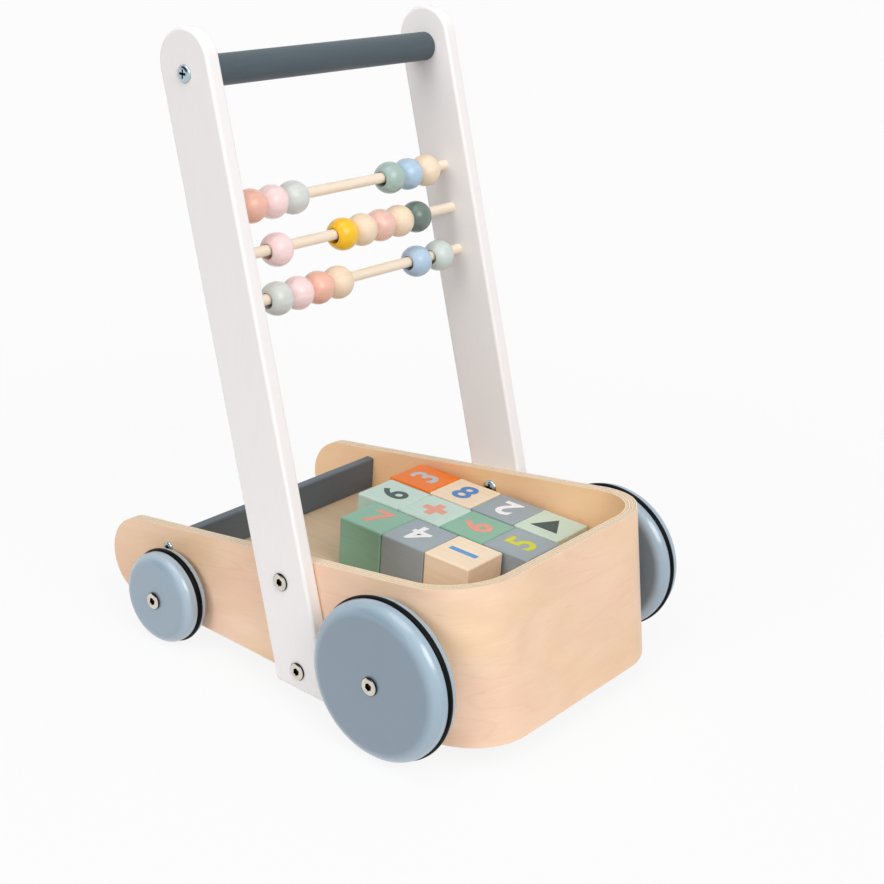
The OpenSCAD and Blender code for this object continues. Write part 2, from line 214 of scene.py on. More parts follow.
def painted_wood(name, code, axis, gloss=0.42, grain=0.5, speck=0.5, shine=0.45):
    """Satin paint on wood: faint fibres under the paint, and slightly uneven gloss."""
    s = Shading(name, Specular_IOR_Level=shine, Coat_Weight=shine / 4, Coat_Roughness=0.25)
    place = s.place()
    fibres = s.noise(place, 900, along(axis), detail=4, roughness=0.65)
    clouds = s.noise(place, 14, along(axis) if grain > 0.6 else (1, 1, 1), detail=2)
    shade = s.math("ADD", s.math("MULTIPLY", fibres, 0.7), s.math("MULTIPLY", clouds, 0.3))
    deep, pale = tint(code, 1 - 0.16 * grain), tint(code, 1 + 0.10 * grain)
    base = s.mix(s.spread(shade, 0.32, 0.68), deep, pale)
    rough = s.spread(clouds, 0.3, 0.7, gloss - 0.05, gloss + 0.08)
    return s.finish(base, rough, s.bump(fibres, 0.10 * speck, 0.4 * MM))


def clear_wood(name, light, dark, axis, gloss=0.48, rings=0.5):
    """Bare or clear-lacquered pale wood with growth rings and fine fibres along one axis."""
    s = Shading(name, Specular_IOR_Level=0.4, Coat_Weight=0.06, Coat_Roughness=0.3)
    place = s.place()
    fibres = s.noise(place, 1100, along(axis), detail=4, roughness=0.7)
    bands = s.noise(place, 160, along(axis), detail=2, distortion=0.6)
    clouds = s.noise(place, 18, detail=2)
    shade = s.math("ADD", s.math("MULTIPLY", bands, rings), s.math("MULTIPLY", fibres, 1 - rings))
    base = s.mix(s.spread(shade, 0.3, 0.7), colour(dark), colour(light))
    base = s.mix(s.spread(clouds, 0.35, 0.75, 0.0, 0.25), base, colour(dark))
    rough = s.spread(fibres, 0.3, 0.7, gloss - 0.06, gloss + 0.08)
    return s.finish(base, rough, s.bump(fibres, 0.12, 0.4 * MM))


VENEER_LIGHT = "#FBDCC1"
VENEER_DARK = "#E4BD9B"
VENEER_LINE = "#D3A27C"
VENEER_PINK = "#FFF8F9"
VENEER_YELLOW = "#FEFDF3"
# Inner faces of the wall: brighter and warmer than the outer ones as painted light, for the light
# bounced inside the tray
PAINTED_LIGHT_INSIDE_PALE = "#FFD9AE"
PAINTED_LIGHT_INSIDE_DEEP = "#F4C796"
PATCH_STRENGTH = 0.75
GROWTH_LINES = 26.0
LINE_WIDTH = 0.12
LINE_STRENGTH = 0.15
FLECK_STRENGTH = 0.22
# The cut edge; the shares are of the wall's thickness and of a ply's
PLY_PALE = "#FBE9CF"
PLY_DEEP = "#F0D6B0"
GLUE = "#7A5331"
PLIES = 7.0
FACE_PLY = 0.045
GLUE_SHARE = 0.22
GLUE_STRENGTH = 0.9


def veneer(s, grain, inner, fibres, flames):
    """Colour of the sheet on a face: flames, tinted patches, growth lines and flecks, with the
    inner face painted brighter and warmer as painted light.
    """
    clouds = s.noise(grain, 8, (0.8, 1, 0), detail=2)
    shade = s.math("MULTIPLY", fibres, 0.22)
    shade = s.math("ADD", shade, s.math("MULTIPLY", flames, 0.33))
    shade = s.math("ADD", shade, s.math("MULTIPLY", clouds, 0.45))
    # The inner face takes the inside colours: painted light
    light = s.mix(inner, colour(VENEER_LIGHT), colour(PAINTED_LIGHT_INSIDE_PALE))
    dark = s.mix(inner, colour(VENEER_DARK), colour(PAINTED_LIGHT_INSIDE_DEEP))
    face = s.mix(s.spread(shade, 0.30, 0.70), dark, light)
    # Slow patches that lean to pink and to yellow
    patches = s.spread(s.noise(grain, 17, (0.6, 1, 0), detail=1), 0.38, 0.62)
    pink = s.spread(patches, 0.5, 1.0, 0.0, PATCH_STRENGTH)
    face = s.mix(pink, face, colour(VENEER_PINK), "MULTIPLY")
    yellow = s.spread(patches, 0.0, 0.5, PATCH_STRENGTH, 0.0)
    face = s.mix(yellow, face, colour(VENEER_YELLOW), "MULTIPLY")
    # Growth lines: thin contours of a slow field, fading in and out over the sheet
    field = s.noise(grain, 12, (0.16, 1, 0), detail=2, roughness=0.4, distortion=0.4)
    phase = s.math("FRACT", s.math("MULTIPLY", field, GROWTH_LINES))
    contour = s.math("ABSOLUTE", s.math("SUBTRACT", phase, 0.5))
    line = s.spread(contour, 0.0, LINE_WIDTH, 1.0, 0.0)
    fading = s.spread(s.noise(grain, 16, (0.5, 1, 0), detail=1), 0.45, 0.62, 0.0, LINE_STRENGTH)
    face = s.mix(s.math("MULTIPLY", line, fading), face, colour(VENEER_LINE))
    flecks = s.noise(grain, 420, (0.16, 1, 0), detail=1)
    return s.mix(s.spread(flecks, 0.68, 0.78, 0.0, FLECK_STRENGTH), face, colour(VENEER_LINE))


def ply_edge(s, share, end_fibres):
    """Colour of the cut edge: plies of two shades, with glue between them."""
    step = s.math("MULTIPLY", share, PLIES)
    odd = s.math("GREATER_THAN", s.math("MODULO", step, 2.0), 1.0)
    ply = s.mix(odd, colour(PLY_PALE), colour(PLY_DEEP))
    ply = s.mix(s.spread(end_fibres, 0.4, 0.7, 0.0, 0.15), ply, colour(GLUE))
    seam = s.math("ABSOLUTE", s.math("SUBTRACT", s.math("FRACT", step), 0.5))
    seam = s.math("GREATER_THAN", seam, 0.5 - GLUE_SHARE / 2)
    return s.mix(s.math("MULTIPLY", seam, GLUE_STRENGTH), ply, colour(GLUE))


def plywood(name, thickness):
    """Bent birch plywood. The attribute grain holds (along the wall, height, depth in it)."""
    s = Shading(name, Specular_IOR_Level=0.42, Coat_Weight=0.10, Coat_Roughness=0.28)
    grain = s.add("Attribute", attribute_name="grain").outputs["Vector"]
    depth = s.add("SeparateXYZ", {"Vector": grain}).outputs["Z"]
    share = s.math("DIVIDE", depth, thickness)
    # Mask of the inner face, which the veneer paints brighter and warmer as painted light
    inner = s.math("GREATER_THAN", share, 0.5)
    fibres = s.noise(grain, 900, along(0), detail=5, roughness=0.7)
    flames = s.noise(grain, 24, (0.45, 1.2, 0), detail=3, roughness=0.5, distortion=1.2)
    end_fibres = s.noise(grain, 700, detail=3)
    from_middle = s.math("ABSOLUTE", s.math("SUBTRACT", share, 0.5))
    cut = s.math("LESS_THAN", from_middle, 0.5 - FACE_PLY)
    face = veneer(s, grain, inner, fibres, flames)
    base = s.mix(cut, face, ply_edge(s, share, end_fibres))
    height = s.mix(cut, fibres, end_fibres)
    rough = s.spread(flames, 0.3, 0.7, 0.40, 0.52)
    return s.finish(base, rough, s.bump(height, 0.10, 0.4 * MM))


def lacquered_bead(name, code):
    """Glossy paint on a turned bead, a little uneven."""
    s = Shading(name, Specular_IOR_Level=0.12, Coat_Weight=1.0, Coat_Roughness=0.26)
    place = s.place()
    turned = s.noise(place, 260, (1, 0.12, 1), detail=3, roughness=0.6)
    dimples = s.noise(place, 90, detail=2)
    base = s.mix(s.spread(turned, 0.35, 0.65), tint(code, 0.93), tint(code, 1.04))
    rough = s.spread(dimples, 0.35, 0.65, 0.32, 0.42)
    return s.finish(base, rough, s.bump(dimples, 0.05, 0.5 * MM))


# Where the painted light on a disc's soft edge begins and where it is full, as shares of its
# radius
PAINTED_LIGHT_FROM, PAINTED_LIGHT_AT = 0.83, 0.93


def wheel_paint(name, face, rim, radius):
    """Satin paint on a turned disc, painted paler towards its soft edges as painted light.

    The attribute reach holds the distance from the axle.
    """
    gloss = {"Coat_Weight": 1.0, "Coat_Roughness": 0.15, "Coat_IOR": 1.6}
    s = Shading(name, Specular_IOR_Level=1.0, IOR=1.6, **gloss)
    place = s.place()
    mist = s.noise(place, 12, detail=3)
    dimples = s.noise(place, 420, detail=2)
    reach = s.add("Attribute", attribute_name="reach").outputs["Fac"]
    # Painted light: the soft edges are painted paler, for the light they catch
    painted_light = s.spread(reach, radius * PAINTED_LIGHT_FROM, radius * PAINTED_LIGHT_AT)
    base = s.mix(painted_light, colour(face), colour(rim))
    base = s.mix(s.spread(mist, 0.35, 0.65, 0.0, 0.06), base, colour(rim))
    rough = s.spread(dimples, 0.3, 0.7, 0.46, 0.52)
    return s.finish(base, rough, s.bump(dimples, 0.03, 0.3 * MM))


def plated_steel(name, code, gloss):
    """Plated steel with fine turning marks."""
    s = Shading(name, Metallic=1.0)
    place = s.place()
    marks = s.noise(place, 1500, (1, 0.2, 1), detail=3)
    patches = s.noise(place, 240, detail=2)
    base = s.mix(s.spread(patches, 0.35, 0.65), tint(code, 0.86), colour(code))
    rough = s.spread(marks, 0.3, 0.7, gloss, gloss + 0.12)
    return s.finish(base, rough, s.bump(marks, 0.06, 0.1 * MM))


def soft_polymer(name, code, gloss, grit, shine=0.4):
    """Rubber or nylon: even colour, fine moulded texture."""
    s = Shading(name, Specular_IOR_Level=shine)
    place = s.place()
    texture = s.noise(place, 900, detail=3, roughness=0.6)
    worn = s.noise(place, 60, detail=3)
    base = s.mix(s.spread(worn, 0.4, 0.7), colour(code), tint(code, 1.25, 0.004))
    rough = s.spread(worn, 0.3, 0.7, gloss, gloss + 0.12)
    return s.finish(base, rough, s.bump(texture, grit, 0.15 * MM))


def printed_ink(name, code):
    """Screen-printed paint on wood: a thin, slightly open film."""
    s = Shading(name, Specular_IOR_Level=0.4)
    place = s.place()
    film = s.noise(place, 1300, (1, FIBRE * 4, 1), detail=3, roughness=0.7)
    base = s.mix(s.spread(film, 0.3, 0.6), tint(code, 0.88), colour(code))
    return s.finish(base, s.spread(film, 0.3, 0.7, 0.45, 0.58), s.bump(film, 0.08, 0.2 * MM))


# ---------------------------------------------------------------- mesh helpers

SMOOTH_BELOW = math.radians(38)
EASED_ABOVE = math.radians(30)
WELD = 0.001 * MM


def piece(node, suffix, shape, material, inner=None, replaces=True):
    """A finished object from a bmesh, named after a node, that rides on the node's body.

    It is smooth where its faces meet gently. inner is the material of the faces with
    material index 1. It stands in for the node's solid, or with replaces off beside it.
    """
    bmesh.ops.recalc_face_normals(shape, faces=shape.faces)
    mesh = bpy.data.meshes.new(node + suffix)
    shape.to_mesh(mesh)
    shape.free()
    mesh.polygons.foreach_set("use_smooth", [True] * len(mesh.polygons))
    mesh.set_sharp_from_angle(angle=SMOOTH_BELOW)
    mesh.materials.append(material)
    if inner:
        mesh.materials.append(inner)
    thing = bpy.data.objects.new(node + suffix, mesh)
    bpy.context.scene.collection.objects.link(thing)
    weighted = thing.modifiers.new("even shading", "WEIGHTED_NORMAL")
    weighted.keep_sharp = True
    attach(thing, frame["nodes"][node]["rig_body"])
    if replaces:
        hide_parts(node)
    return thing


def dress(node, material):
    """Gives a construction node its finished material."""
    data = frame["nodes"][node].data
    data.materials.clear()
    data.materials.append(material)


def middle(box):
    return (box[0] + box[1]) / 2


def corners_of(verts):
    """Lowest and highest corner of some vertices of a bmesh."""
    low = Vector([min(v.co[i] for v in verts) for i in range(3)])
    high = Vector([max(v.co[i] for v in verts) for i in range(3)])
    return low, high


def islands(node):
    """Boxes of the separate solids of a node, as (lowest corner, highest corner)."""
    shape = bmesh.new()
    shape.from_mesh(frame["nodes"][node].data)
    bmesh.ops.remove_doubles(shape, verts=shape.verts, dist=2 * WELD)
    left = set(shape.verts)
    boxes = []
    while left:
        queue = [left.pop()]
        found = list(queue)
        while queue:
            for edge in queue.pop().link_edges:
                for vert in edge.verts:
                    if vert in left:
                        left.discard(vert)
                        queue.append(vert)
                        found.append(vert)
        boxes.append(corners_of(found))
    shape.free()
    return sorted(boxes, key=lambda box: tuple(middle(box)))


def lathe(shape, centre, side, rings, segments=96, recess=0, painted_reflection_spans=()):
    """Revolves rings about the Y axis through centre; side +1 or -1 is the way out.

    Each ring is (radius, distance outwards), and a radius may be a function of the angle.
    The last spans, as many as recess, and the spans listed by number get material index 1; on
    fasteners that is steel painted dark as painted shade and painted reflection.
    """
    loops = []
    for radius, out in rings:
        loop = []
        if radius == 0:
            loop = [shape.verts.new(centre + Vector((0, side * out, 0)))] * segments
        else:
            for i in range(segments):
                angle = 2 * math.pi * i / segments
                r = radius(angle) if callable(radius) else radius
                at = Vector((r * math.cos(angle), side * out, r * math.sin(angle)))
                loop.append(shape.verts.new(centre + at))
        loops.append(loop)
    for span, (first, second) in enumerate(zip(loops, loops[1:]), start=1):
        for i in range(segments):
            j = (i + 1) % segments
            corners = list(dict.fromkeys([first[i], first[j], second[j], second[i]]))
            if len(corners) > 2:
                dark = span in painted_reflection_spans or span >= len(loops) - recess
                shape.faces.new(corners).material_index = int(dark)
    return shape


def turned_ring(centre, side, rings, segments):
    """A revolved body whose last ring meets its first."""
    shape = lathe(bmesh.new(), centre, side, rings, segments)
    bmesh.ops.remove_doubles(shape, verts=shape.verts, dist=WELD)
    return shape


def arc(centre, radius, start, end, steps):
    """Points (radius, out) along an arc in a section, angles in degrees from the radial axis."""
    points = []
    for i in range(steps + 1):
        angle = math.radians(start + (end - start) * i / steps)
        at = (centre[0] + radius * math.cos(angle), centre[1] + radius * math.sin(angle))
        points.append(at)
    return points


def hexagon(flats):
    """Radius at an angle of a hexagon with the given width across its flats."""

    def radius(angle):
        return flats / 2 / math.cos((angle + math.pi / 6) % (math.pi / 3) - math.pi / 6)

    return radius


def cross(width, length):
    """Radius at an angle of a cross with arms of the given width and whole length."""

    def radius(angle):
        turn = abs((angle + math.pi / 4) % (math.pi / 2) - math.pi / 4)
        if math.tan(turn) < width / length:
            return length / 2 / math.cos(turn)
        return width / 2 / math.sin(turn)

    return radius


def ease_edges(shape, radius, steps=4, sharper=EASED_ABOVE):
    """Rounds every edge of a mesh that is sharper than the given angle."""
    sharp = [e for e in shape.edges if e.is_manifold and e.calc_face_angle() > sharper]
    bmesh.ops.bevel(
        shape,
        geom=sharp,
        offset=radius,
        segments=steps,
        profile=0.5,
        affect="EDGES",
        clamp_overlap=True,
    )


def plate(outline, to_world, thickness, ease, steps=4):
    """A board: a closed outline of (a, b) points, thick along the third axis, edges eased."""
    shape = bmesh.new()
    rims = []
    for level in (-thickness / 2, thickness / 2):
        rims.append([shape.verts.new(to_world @ Vector((a, b, level))) for a, b in outline])
    shape.faces.new(rims[0])
    shape.faces.new(rims[1])
    for i in range(len(outline)):
        j = (i + 1) % len(outline)
        shape.faces.new([rims[0][i], rims[0][j], rims[1][j], rims[1][i]])
    bmesh.ops.recalc_face_normals(shape, faces=shape.faces)
    ease_edges(shape, ease, steps)
    return shape


def eased_box(box, ease, steps=4):
    low, high = box
    outline = [(low.x, low.y), (high.x, low.y), (high.x, high.y), (low.x, high.y)]
    place = Matrix.Translation((0, 0, (low.z + high.z) / 2))
    return plate(outline, place, high.z - low.z, ease, steps)


# ---------------------------------------------------------------- tray

RIM_SLOPE = math.radians(8.9)
BEND_R = 53.5 * MM
WALL_EASE = 1.0 * MM
WALL_EASED_ABOVE = math.radians(50)
BATTEN_EASE = 0.6 * MM
FORWARD = Vector((math.cos(RIM_SLOPE), 0, math.sin(RIM_SLOPE)))
UPWARD = Vector((-math.sin(RIM_SLOPE), 0, math.cos(RIM_SLOPE)))
BEND_STEPS = 40
TAIL_STEPS = 40

# The wall is drawn from the foot of its front, u forward along the rim and v square to it
wall_low, wall_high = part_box("tray_wall")
half_w = wall_high.y
wall_t = half_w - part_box("back_board")[1].y
foot = Vector((wall_high.x, 0, wall_low.z))
rim_v = (wall_high.z - wall_low.z) / math.cos(RIM_SLOPE)
rim_front = foot + UPWARD * rim_v


def tail_round():
    """Radius and centre (u, v) of the round tails."""
    rise = rim_front.z + (wall_low.x - rim_front.x) * math.tan(RIM_SLOPE) - wall_low.z
    radius = rise / (1 + 1 / math.cos(RIM_SLOPE) - math.tan(RIM_SLOPE))
    centre = Vector((wall_low.x + radius, 0, wall_low.z + radius)) - foot
    return radius, centre.dot(FORWARD), centre.dot(UPWARD)


def tail_columns():
    """Top and bottom points (u, v) of a side wall, from the tip of its tail to its bend."""
    radius, u_c, v_c = tail_round()
    columns = []
    for i in range(TAIL_STEPS + 1):
        above = math.pi / 2 * i / TAIL_STEPS
        below = (math.pi / 2 + RIM_SLOPE) * i / TAIL_STEPS
        top = (u_c - radius * math.cos(above), v_c + radius * math.sin(above))
        bottom = (u_c - radius * math.cos(below), v_c - radius * math.sin(below))
        columns.append((top, bottom))
    return columns


def bottom_v(u):
    """Height v at which the level lower edge passes."""
    return -u * math.tan(RIM_SLOPE)


def wall_skin(shape, depth):
    """Columns of top and bottom vertices at a depth, from the right tail to the left one."""
    half = [[(u, half_w - depth, v) for u, v in column] for column in tail_columns()]
    for i in range(BEND_STEPS + 1):
        angle = math.pi / 2 * i / BEND_STEPS
        r = BEND_R - depth
        u = -BEND_R + r * math.sin(angle)
        y = half_w - BEND_R + r * math.cos(angle)
        half.append([(u, y, rim_v), (u, y, bottom_v(u))])
    full = [[(u, -y, v) for u, y, v in column] for column in half] + half[::-1]
    skin = []
    for column in full:
        ends = [foot + FORWARD * u + UPWARD * v + Vector((0, y, 0)) for u, y, v in column]
        skin.append([shape.verts.new(end) for end in ends])
    return skin


def wall_shape():
    """The bent wall: two skins over one outline, closed by the rim and the lower edge."""
    shape = bmesh.new()
    outer, inner = wall_skin(shape, 0.0), wall_skin(shape, wall_t)
    for skin in (outer, inner):
        for a, b in zip(skin, skin[1:]):
            shape.faces.new([a[0], b[0], b[1], a[1]])
    for level in (0, 1):
        for a, b, c, d in zip(outer, outer[1:], inner[1:], inner):
            shape.faces.new([a[level], b[level], c[level], d[level]])
    for end in (0, -1):
        shape.faces.new([outer[end][0], outer[end][1], inner[end][1], inner[end][0]])
    bmesh.ops.remove_doubles(shape, verts=shape.verts, dist=10 * WELD)
    bmesh.ops.dissolve_degenerate(shape, edges=shape.edges, dist=WELD)
    bmesh.ops.recalc_face_normals(shape, faces=shape.faces)
    ease_edges(shape, WALL_EASE, 3, WALL_EASED_ABOVE)
    return shape


def wall_place(point):
    """(along the wall, height, depth in the wall) of a point of the tray wall."""
    local = point - foot
    u, v, y = local.dot(FORWARD), local.dot(UPWARD), abs(point.y)
    quarter = BEND_R * math.pi / 2
    straight = half_w - BEND_R
    if u < -BEND_R:
        run, depth = straight + quarter + (-BEND_R - u), half_w - y
    elif y < straight:
        run, depth = y, -u
    else:
        angle = math.atan2(y - straight, u + BEND_R)
        run = straight + BEND_R * angle
        depth = BEND_R - math.hypot(u + BEND_R, y - straight)
    return Vector((math.copysign(run, point.y), v, depth))


def build_tray():
    wall = piece("tray_wall", "_bent", wall_shape(), plywood("birch plywood", wall_t))
    grain = wall.data.attributes.new("grain", "FLOAT_VECTOR", "POINT")
    for i, vertex in enumerate(wall.data.vertices):
        grain.data[i].vector = wall_place(vertex.co)
    dress("tray_floor", clear_wood("birch floor", "#DBC5A9", "#C8AE8B", 0, rings=0.4))
    slats = clear_wood("beech batten", "#EBCFA6", "#D9B688", 0)
    for node in ("floor_batten_left", "floor_batten_right"):
        piece(node, "_wood", eased_box(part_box(node), BATTEN_EASE), slats)
    slate = {"gloss": 0.40, "grain": 0.45, "shine": 0.3}
    dress("back_board", painted_wood("slate paint on board", "#59636B", 1, **slate))


build_tray()

# ---------------------------------------------------------------- uprights, handle, rails

LEAN = math.radians(16.7)
UPRIGHT_EASE = 2.5 * MM
ROUND_STEPS = 48
HANDLE_EASE = 0.4 * MM
RAIL_EASE = 0.2 * MM


def round_top_radius(low, high):
    """Radius of an upright's round top, from the box of a leaning board cut level at its foot.

    The box runs from the rear of the round top to the front corner of the foot.
    """
    rise = (high.z - low.z) * math.tan(LEAN)
    return (high.x - low.x - rise) / (1 + 1 / math.cos(LEAN) - math.tan(LEAN))


def upright_outline(half, top, foot_z):
    """Side view of an upright: (across the board, along it) from the centre of its round top."""
    points = []
    for i in range(ROUND_STEPS + 1):
        angle = math.pi * i / ROUND_STEPS
        points.append((half * math.cos(angle), half * math.sin(angle)))
    for across in (-half, half):
        points.append((across, (foot_z - top.z - across * math.sin(LEAN)) / math.cos(LEAN)))
    return points


def build_uprights():
    finish = {"gloss": 0.50, "grain": 0.12, "speck": 0.6, "shine": 0.2}
    white = painted_wood("white paint on upright", "#F3EFEE", 2, **finish)
    across = Vector((math.cos(LEAN), 0, math.sin(LEAN)))
    up = Vector((-math.sin(LEAN), 0, math.cos(LEAN)))
    through = Vector((0, 1, 0))
    axes = Matrix((across, up, through)).transposed().to_4x4()
    for node in ("upright_left", "upright_right"):
        low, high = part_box(node)
        half = round_top_radius(low, high)
        top = Vector((low.x + half, (low.y + high.y) / 2, high.z - half))
        outline = upright_outline(half, top, low.z)
        place = Matrix.Translation(top) @ axes
        piece(node, "_board", plate(outline, place, high.y - low.y, UPRIGHT_EASE, 6), white)


def build_bars():
    slate = painted_wood("slate paint on handle", "#4E5A61", 1, gloss=0.44, grain=0.5, shine=0.2)
    raw = clear_wood("bare birch rail", "#F9ECDA", "#F0DCC5", 1)
    bars = [("handle_bar", slate, HANDLE_EASE)]
    bars += [(rail, raw, RAIL_EASE) for rail in ("top_rail", "middle_rail", "bottom_rail")]
    for node, material, ease in bars:
        low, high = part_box(node)
        radius, half = (high.z - low.z) / 2, (high.y - low.y) / 2
        rings = [(0, -half), (radius - ease, -half), (radius, -half + ease)]
        rings += [(radius, half - ease), (radius - ease, half), (0, half)]
        piece(node, "_turned", lathe(bmesh.new(), middle((low, high)), 1, rings), material)


build_uprights()
build_bars()

# ---------------------------------------------------------------- fasteners

nickel = plated_steel("nickel plate", "#DDD6CA", 0.06)
zinc = plated_steel("zinc plate", "#B9CCD4", 0.16)
# Steel painted dark: painted shade inside sockets and slots, and a painted dark reflection on the
# sides of bolt heads
painted_shade_and_reflection_steel = plated_steel("oiled steel in a socket", "#2A231E", 0.45)

FASTENER_SEGMENTS = 120
TIP_EASE = 0.4 * MM

# Bolts: a low head with a hexagon socket, which is measured across its flats
BOLT_HEAD_H = 2.2 * MM
BOLT_SEAT_EASE = 0.3 * MM
BOLT_FLAT_R = 3.5 * MM
BOLT_SOCKET = 5.0 * MM
BOLT_SHANK_R = 2.9 * MM
WHEEL_SHOULDER_R = 4 * MM
# The rounded edge of the head: mm in from its side and below its top
BOLT_EDGE = ((0, 1.15), (0.3, 0.8), (0.7, 0.5), (1.2, 0.26), (1.8, 0.08), (2.3, 0))
# The socket from its mouth down: mm wider and below the top, and the depth of its point
BOLT_SOCKET_STEPS = ((0.5, 0.15), (0, 0.45), (0, 1.9))
BOLT_POINT = 2.05
# The spans from the seat to the rounded edge, painted dark like the socket as a painted
# reflection of dark surroundings
BOLT_PAINTED_REFLECTION_SPANS = (5, 6, 7)

# Domes: share of the head's radius and mm above its seat
SCREW_HEAD_H = 2.4 * MM
SCREW_DOME = (
    (0.97, 0),
    (1, 0.2),
    (1, 0.5),
    (0.985, 0.9),
    (0.92, 1.45),
    (0.8, 1.9),
    (0.65, 2.2),
    (0.55, 2.32),
)
NUT_HEAD_H = 2.5 * MM
NUT_DOME = ((0.97, 0), (1, 0.4), (0.97, 0.9), (0.88, 1.6), (0.72, 2.2), (0.6, 2.42))
# Cross slots from the mouth down: shares of width and length, mm wider and below the top,
# and the depth of the point
SCREW_SLOT_STEPS = ((1, 1, 0.4, 0.12), (1, 1, 0, 0.35), (0.6, 0.55, 0, 1.7))
SCREW_POINT = 1.9
NUT_SLOT_STEPS = ((1, 1, 0.5, 0.1), (1, 1, 0, 0.35), (0.6, 0.6, 0, 1.4))
NUT_POINT = 1.5

SCREW_SLOT_W = 1.5 * MM
HANDLE_SLOT_L = 6.2 * MM
BOARD_SLOT_L = 4.6 * MM
SCREW_SHANK_R = 2.0 * MM
SCREW_TIP_R = 0.5 * MM
SCREW_TIP_L = 3 * MM
NUT_SLOT_W, NUT_SLOT_L = 1.6 * MM, 6.4 * MM
NUT_BARREL_R = 3.8 * MM


def head_and_half(box):
    """Radius of a fastener's head, and half its length."""
    low, high = box
    return (high.x - low.x) / 2, (high.y - low.y) / 2


def shank_rings(radius, out, seat):
    """A round shank from its eased tip to the seat of the head."""
    return [(0, -out), (radius - TIP_EASE, -out), (radius, -out + TIP_EASE), (radius, seat)]


def dome_rings(head_r, seat, dome):
    return [(head_r * share, seat + above * MM) for share, above in dome]


def slot_rings(width, length, out, steps, point):
    """A cross slot from its eased mouth to its point below the top of the head."""
    rings = []
    for of_width, of_length, wider, below in steps:
        shape = cross(width * of_width + wider * MM, length * of_length + wider * MM)
        rings.append((shape, out - below * MM))
    return rings + [(0, out - point * MM)]


def bolt_rings(box, shank=BOLT_SHANK_R):
    """Section of a bolt; out is away from the walker."""
    head_r, out = head_and_half(box)
    seat = out - BOLT_HEAD_H
    rings = shank_rings(shank, out, seat)
    rings += [(head_r - BOLT_SEAT_EASE, seat), (head_r, seat + BOLT_SEAT_EASE)]
    rings += [(head_r - inwards * MM, out - below * MM) for inwards, below in BOLT_EDGE]
    rings.append((BOLT_FLAT_R, out))
    for wider, below in BOLT_SOCKET_STEPS:
        rings.append((hexagon(BOLT_SOCKET + wider * MM), out - below * MM))
    rings.append((0, out - BOLT_POINT * MM))
    return rings


def screw_rings(box, slot_l):
    """Section of a wood screw with a low domed head and a cross slot."""
    head_r, out = head_and_half(box)
    seat = out - SCREW_HEAD_H
    rings = [(0, -out), (SCREW_TIP_R, -out)]
    rings += [(SCREW_SHANK_R, -out + SCREW_TIP_L), (SCREW_SHANK_R, seat)]
    rings += dome_rings(head_r, seat, SCREW_DOME)
    return rings + slot_rings(SCREW_SLOT_W, slot_l, out, SCREW_SLOT_STEPS, SCREW_POINT)


def cap_nut_rings(box):
    """Section of a domed nut with a cross slot, which shows inside the tray, and its barrel."""
    head_r, out = head_and_half(box)
    seat = out - NUT_HEAD_H
    rings = shank_rings(NUT_BARREL_R, out, seat) + dome_rings(head_r, seat, NUT_DOME)
    return rings + slot_rings(NUT_SLOT_W, NUT_SLOT_L, out, NUT_SLOT_STEPS, NUT_POINT)


def build_fasteners(node, rings_of, material, outwards=1, painted_reflection_spans=()):
    """One piece for a node of identical fasteners; outwards -1 turns the heads to the middle."""
    shape = bmesh.new()
    for box in islands(node):
        centre = middle(box)
        side = math.copysign(1, centre.y) * outwards
        lathe(shape, centre, side, rings_of(box), FASTENER_SEGMENTS, recess=2, painted_reflection_spans=painted_reflection_spans)
    # Faces with material index 1 take the steel painted dark: painted shade in sockets and slots,
    # painted reflection on the sides of bolt heads
    piece(node, "_turned", shape, material, painted_shade_and_reflection_steel)


def shoulder_rings(box):
    return bolt_rings(box, WHEEL_SHOULDER_R)


build_fasteners("upright_bolts", bolt_rings, nickel, painted_reflection_spans=BOLT_PAINTED_REFLECTION_SPANS)
build_fasteners("front_wheel_bolts", shoulder_rings, nickel, painted_reflection_spans=BOLT_PAINTED_REFLECTION_SPANS)
build_fasteners("rear_wheel_bolts", shoulder_rings, nickel, painted_reflection_spans=BOLT_PAINTED_REFLECTION_SPANS)
build_fasteners("handle_screws", lambda box: screw_rings(box, HANDLE_SLOT_L), zinc)
build_fasteners("back_board_screws", lambda box: screw_rings(box, BOARD_SLOT_L), zinc)
build_fasteners("upright_cap_nuts", cap_nut_rings, zinc, outwards=-1)
build_fasteners("wheel_cap_nuts", cap_nut_rings, zinc, outwards=-1)

# ---------------------------------------------------------------- wheels

RING_PROUD = 1.5 * MM
# Depths of the soft outer and inner edges across a disc
SOFT_EDGES = {"front": (9.0 * MM, 7.4 * MM), "rear": (8.0 * MM, 3.6 * MM)}
# How far in from the rim a soft edge begins, and the radius of its tight arc, as shares
# of its depth
ROUND_SPREAD = 1.25
TIGHT_SHARE = 0.6
WIDE_STEPS, TIGHT_STEPS = 10, 8
GROOVE_STEPS, RING_STEPS = 20, 32
WHEEL_SEGMENTS = 160
BORE_R = 5.5 * MM
BORE_EASE = 0.35 * MM
# Paint on the flat faces and on the soft edges; the edges are painted paler as painted light, and
# the front wheels darker than the rear as painted shade
WHEEL_PAINT_AND_PAINTED_LIGHT = {"front": ("#667C8D", "#8BA3B4"), "rear": ("#7F95A5", "#94A9B8")}


def soft_edge(radius, half, depth):
    """Edge of a disc: a wide arc from the face that runs on into a tight arc at the rim."""
    spread, tight = depth * ROUND_SPREAD, depth * TIGHT_SHARE
    turn = 2 * math.atan((depth - tight) / (spread - tight))
    wide = (spread - tight) / math.sin(turn) + tight
    meet = 90 - math.degrees(turn)
    first = arc((radius - spread, half - wide), wide, 90, meet, WIDE_STEPS)
    return first + arc((radius - tight, half - depth), tight, meet, 0, TIGHT_STEPS)[1:]


def groove_c(radius, groove_r):
    """Radius of the circle on which the middle of the rubber ring lies."""
    return radius + RING_PROUD - groove_r


